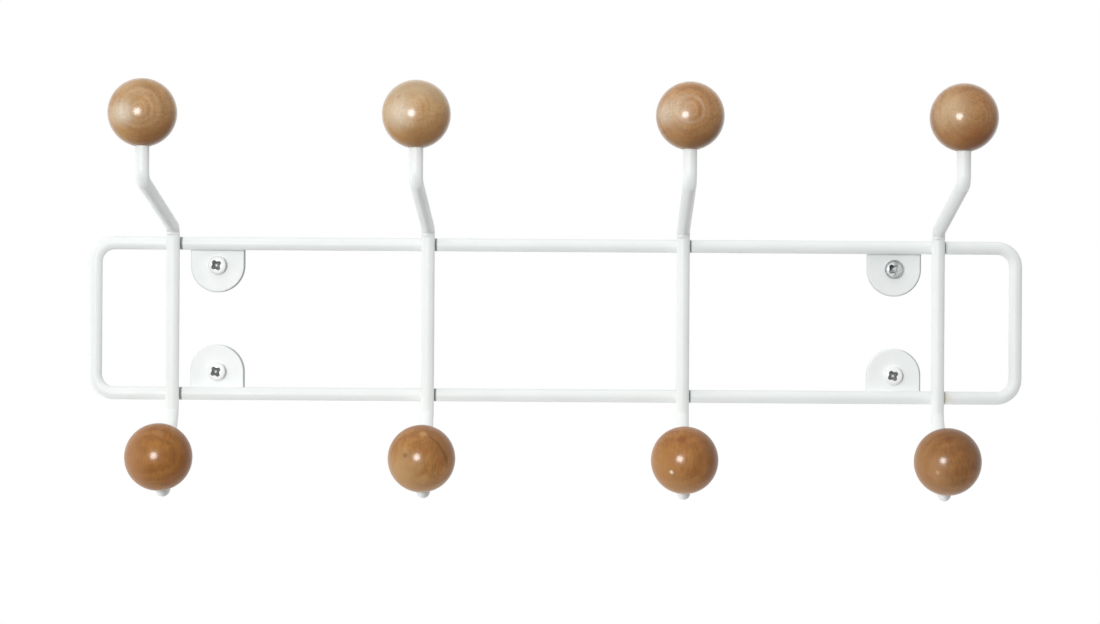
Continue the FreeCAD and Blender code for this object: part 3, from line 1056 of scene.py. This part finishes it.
def dome(radius):
    """The height of the head's top at a distance from its axis: nearly flat, then round to the side."""
    share = min(radius / head_radius, 1.0)
    return head_side + (head_height - head_side) * math.sqrt(1 - share ** 4)


def radius_of(point):
    """A point's distance from the screw's axis."""
    return math.hypot(point.co.x, point.co.y)


def head_top(shape):
    """The top of the head, still flat, from a grid with a cross in its middle. Returns the edges of its rim.
    """
    bmesh.ops.create_grid(shape, x_segments=3, y_segments=3, size=1.0)
    for face in shape.faces:
        spot = face.calc_center_median()
        face.material_index = 1 if min(abs(spot.x), abs(spot.y)) < 0.1 else 0
    for point in shape.verts:
        inner = [abs(point.co[axis]) < 0.9 for axis in (0, 1)]
        if all(inner):
            sizes = (recess_waist, recess_waist)
        elif any(inner):
            sizes = [recess_tip if is_inner else recess_reach for is_inner in inner]
        else:
            sizes = (grid_corner, grid_corner)
        point.co = [math.copysign(size, along) for size, along in zip(sizes, point.co)] + [0.0]
    _, points = push_ring(shape, [e for e in shape.edges if e.is_boundary])
    for point in points:
        point.co *= head_radius / radius_of(point)
    for face in shape.faces:
        if any(point in points for point in face.verts):
            face.material_index = 0
    bmesh.ops.subdivide_edges(shape, edges=shape.edges[:], cuts=5, use_grid_fill=True)
    rim = [e for e in shape.edges if e.is_boundary]
    for point in {p for e in rim for p in e.verts}:
        point.co *= head_radius / radius_of(point)
    return rim


print("recess:", round(recess_reach * 2 / MM, 1), "mm from tip to tip")

# %% [markdown]
# The recess is the cross pushed down and drawn in, so its walls slope as the driver's tip does. Its floor
# is a shallow cone, deepest in the middle, and that middle gets bright steel as a painted highlight. On
# these screws the recess sits a little to one side of the head, so the cross and the points near it are
# moved before the dome is made.

# %% Cross recess
recess_depth = 1.6 * MM
recess_draw = 0.62
floor_slope = 0.45
lip_round = 0.07 * MM
recess_highlight_radius = 0.62 * MM


def shift_recess(shape, aside):
    """Moves the cross aside, and the points round it less and less towards the rim."""
    for point in shape.verts:
        share = max(1 - radius_of(point) / head_radius, 0.0)
        point.co += Vector((*aside, 0.0)) * min(share * 2.2, 1.0)


def sink_cross(shape, aside):
    """Lifts the top onto its dome, and pushes the cross down into it."""
    for point in shape.verts:
        point.co.z = dome(radius_of(point))
    mouth = [f for f in shape.faces if f.material_index == 1]
    made = bmesh.ops.extrude_face_region(shape, geom=mouth)["geom"]
    bmesh.ops.delete(shape, geom=[f for f in mouth if f.is_valid], context="FACES_ONLY")
    floor_points = [g for g in made if isinstance(g, bmesh.types.BMVert)]
    middle_of_cross = Vector((*aside, 0.0))
    for point in floor_points:
        flat = Vector((point.co.x, point.co.y, 0.0)) - middle_of_cross
        depth = recess_depth * (1 - floor_slope * flat.length / recess_reach)
        point.co = middle_of_cross + flat * recess_draw + Vector((0, 0, head_height - depth))
    sunk = {f for p in floor_points for f in p.link_faces}
    # the middle of the recess gets bright steel as a painted highlight, the rest dark steel as painted shade
    for face in sunk:
        from_middle = face.calc_center_median() - middle_of_cross
        face.material_index = 2 if math.hypot(from_middle.x, from_middle.y) < recess_highlight_radius else 1
    lip = [e for e in shape.edges if len(e.link_faces) == 2 and sum(f in sunk for f in e.link_faces) == 1]
    bmesh.ops.bevel(shape, geom=lip, offset=lip_round, segments=2, profile=0.5, affect="EDGES", material=-1)


print("cross recess:", round(recess_depth / MM, 1), "mm deep")

# %% [markdown]
# From the rim of the head the same ring of edges is pushed on, down the side, under the head, along the
# shank and to the point, so head and shank are one closed skin. The thread is a ridge that winds round the
# core: one small face is spun round the axis, and each step also moves it along, which makes a helix. Near
# the point the ridge and the core shrink together.

# %% Shank and thread
shank_length = head_high.y - tab_front
neck_radius = 1.65 * MM
neck_length = -tab_front
core_radius = 1.4 * MM
crest_radius = 2.2 * MM
tip_radius = 0.06 * MM
point_length = 4.5 * MM
start_of_point = point_length - shank_length
thread_pitch = 1.8 * MM
thread_turns = math.floor((shank_length - neck_length) / thread_pitch) - 1
steps_in_turn = 24


def shank(shape, rim):
    """Pushes the rim of the head down into the side, the underside, the shank and the point."""
    profile = [
        (head_radius, 0.0), (neck_radius, 0.0), (neck_radius, -neck_length),
        (core_radius, -neck_length - 0.3 * MM), (core_radius, start_of_point), (tip_radius, -shank_length)]
    for radius, height in profile:
        rim, points = push_ring(shape, rim)
        for point in points:
            point.co *= radius / radius_of(point)
            point.co.z = height
    bmesh.ops.holes_fill(shape, edges=[e for e in shape.edges if e.is_boundary])


def thread(shape):
    """A helical ridge from under the tab to just short of the point."""
    root = core_radius - 0.1 * MM
    top = -neck_length - 0.9 * MM
    section = [(root, 0.45), (crest_radius, 0.1), (crest_radius, -0.1), (root, -0.45)]
    outline = [shape.verts.new((radius, 0, top + height * MM)) for radius, height in section]
    ridge = shape.faces.new(outline)
    bmesh.ops.spin(shape, geom=outline + ridge.edges[:] + [ridge], cent=(0, 0, 0), axis=(0, 0, 1),
                   dvec=(0, 0, -thread_pitch / steps_in_turn), angle=math.tau * thread_turns,
                   steps=thread_turns * steps_in_turn)


def taper_point(shape):
    """Shrinks what lies below the start of the point towards the axis, the ridge with the core."""
    for point in shape.verts:
        if point.co.z < start_of_point and radius_of(point) > 0.2 * MM:
            share = max((point.co.z + shank_length) / point_length, 0.05)
            point.co.x *= share
            point.co.y *= share


print("shank:", round(shank_length / MM, 1), "mm, with", thread_turns, "turns of thread")

# %% [markdown]
# The enamel is white and glossy, with fine chips, and painted shade darkens the right of the head's side.
# The recess is bare steel, made dark as painted shade, with a painted highlight in the middle. The odd screw
# is zinc plated: a pale, cloudy grey, with painted shade on one side of its recess.

# %% Screw finishes
head_shade_grey = (0.30, 0.31, 0.31)
recess_shade_black = (0.03, 0.035, 0.035)


def enamel(name, white):
    """Thin glossy enamel on a screw's head, with painted shade on the right of its side."""
    material, tree, shader = finish(name)
    chips = noise(tree, place_of(tree), 700.0, 3.0)
    tone = over(tree, fade(tree, chips, 0.3, 0.7), shaded(white, 0.98), white)
    # painted shade on the right of the head's side
    tone = over(tree, fade(tree, facing(tree, "X"), 0.45, 0.85, 0.0, 0.75), tone, head_shade_grey)
    feed_all(tree, shader, Base_Color=tone, Roughness=0.3, Normal=bumps(tree, chips, 0.15, 0.05 * MM))
    return material


def bare_steel(name, bright, dull, gloss_range, metallic, shade_place=None):
    """Plated or worn steel, clouded by handling, with painted shade round a place if one is given."""
    material, tree, shader = finish(name)
    where = place_of(tree)
    cloud = noise(tree, where, 450.0, 4.0)
    tone = over(tree, fade(tree, cloud, 0.35, 0.65), dull, bright)
    # painted shade in the recess round that place
    if shade_place:
        distance = vector_sum(tree, "DISTANCE", where, shade_place)
        tone = over(tree, fade(tree, distance, 2.6 * MM, 1.2 * MM, 0.0, 0.95), tone, recess_shade_black)
    roughness = fade(tree, cloud, 0.35, 0.65, *gloss_range)
    scratches = bumps(tree, noise(tree, where, 2500.0, 2.0), 0.2, 0.04 * MM)
    feed_all(tree, shader, Base_Color=tone, Roughness=roughness, Normal=scratches, Metallic=metallic)
    return material


odd_screw = middle("wall_screw_upper_right")
recess_shade_place = (odd_screw.x - 1.9 * MM, tab_front - head_height, odd_screw.z + 1.2 * MM)
screw_enamel = enamel("screw_enamel", (0.96, 0.965, 0.96))
# dark recess steel as painted shade, bright steel as a painted highlight
worn_shaded_recess = bare_steel("worn_shaded_recess", (0.24, 0.25, 0.25), (0.13, 0.14, 0.14), (0.45, 0.65), 0.5)
painted_highlight_steel = bare_steel("painted_highlight_steel", (0.72, 0.74, 0.74), (0.60, 0.62, 0.62), (0.4, 0.6), 0.4)
zinc = bare_steel("zinc", (0.58, 0.60, 0.60), (0.34, 0.36, 0.36), (0.38, 0.55), 0.8)
zinc_recess = bare_steel("zinc_recess", (0.55, 0.57, 0.57), (0.22, 0.24, 0.24), (0.4, 0.6), 0.8, recess_shade_place)
print("screw finishes:", screw_enamel.name, worn_shaded_recess.name, painted_highlight_steel.name, zinc.name, zinc_recess.name)

# %% [markdown]
# A screw is built upright on its own axis, from the tab's face. Then one matrix turns it to point into the
# wall and puts it in its place. The crosses point every which way, as they stopped when the screws were
# driven home.

# %% Screws
recess_aside = 0.45 * MM
enamelled = ([screw_enamel, worn_shaded_recess, painted_highlight_steel], "white_screw")
plated = ([zinc, zinc_recess, zinc], "zinc_screw")
screw_list = {
    "upper_left": (35.0, *enamelled), "upper_right": (40.0, *plated),
    "lower_left": (36.0, *enamelled), "lower_right": (33.0, *enamelled)}


def wall_screw(name, turn, material_list):
    """A screw in the place of a node, with its cross turned by some degrees."""
    aside = Matrix.Rotation(math.radians(-turn), 2) @ Vector((-recess_aside, 0))
    shape = bmesh.new()
    rim = head_top(shape)
    shift_recess(shape, aside)
    sink_cross(shape, aside)
    shank(shape, rim)
    bmesh.ops.recalc_face_normals(shape, faces=shape.faces)
    thread(shape)
    taper_point(shape)
    place = middle(name)
    stand = Matrix.Rotation(math.radians(90), 4, "X") @ Matrix.Rotation(math.radians(turn), 4, "Z")
    stand = Matrix.Translation((place.x, tab_front, place.z)) @ stand
    bmesh.ops.transform(shape, verts=shape.verts, matrix=stand)
    piece = to_piece(name.replace("wall_screw", "screw"), shape, material_list)
    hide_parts(name)
    return piece


for corner, (turn, material_list, slot) in screw_list.items():
    screw = wall_screw(f"wall_screw_{corner}", turn, material_list)
print("screws:", len(screw_list), "with", len(screw.data.polygons), "faces each")
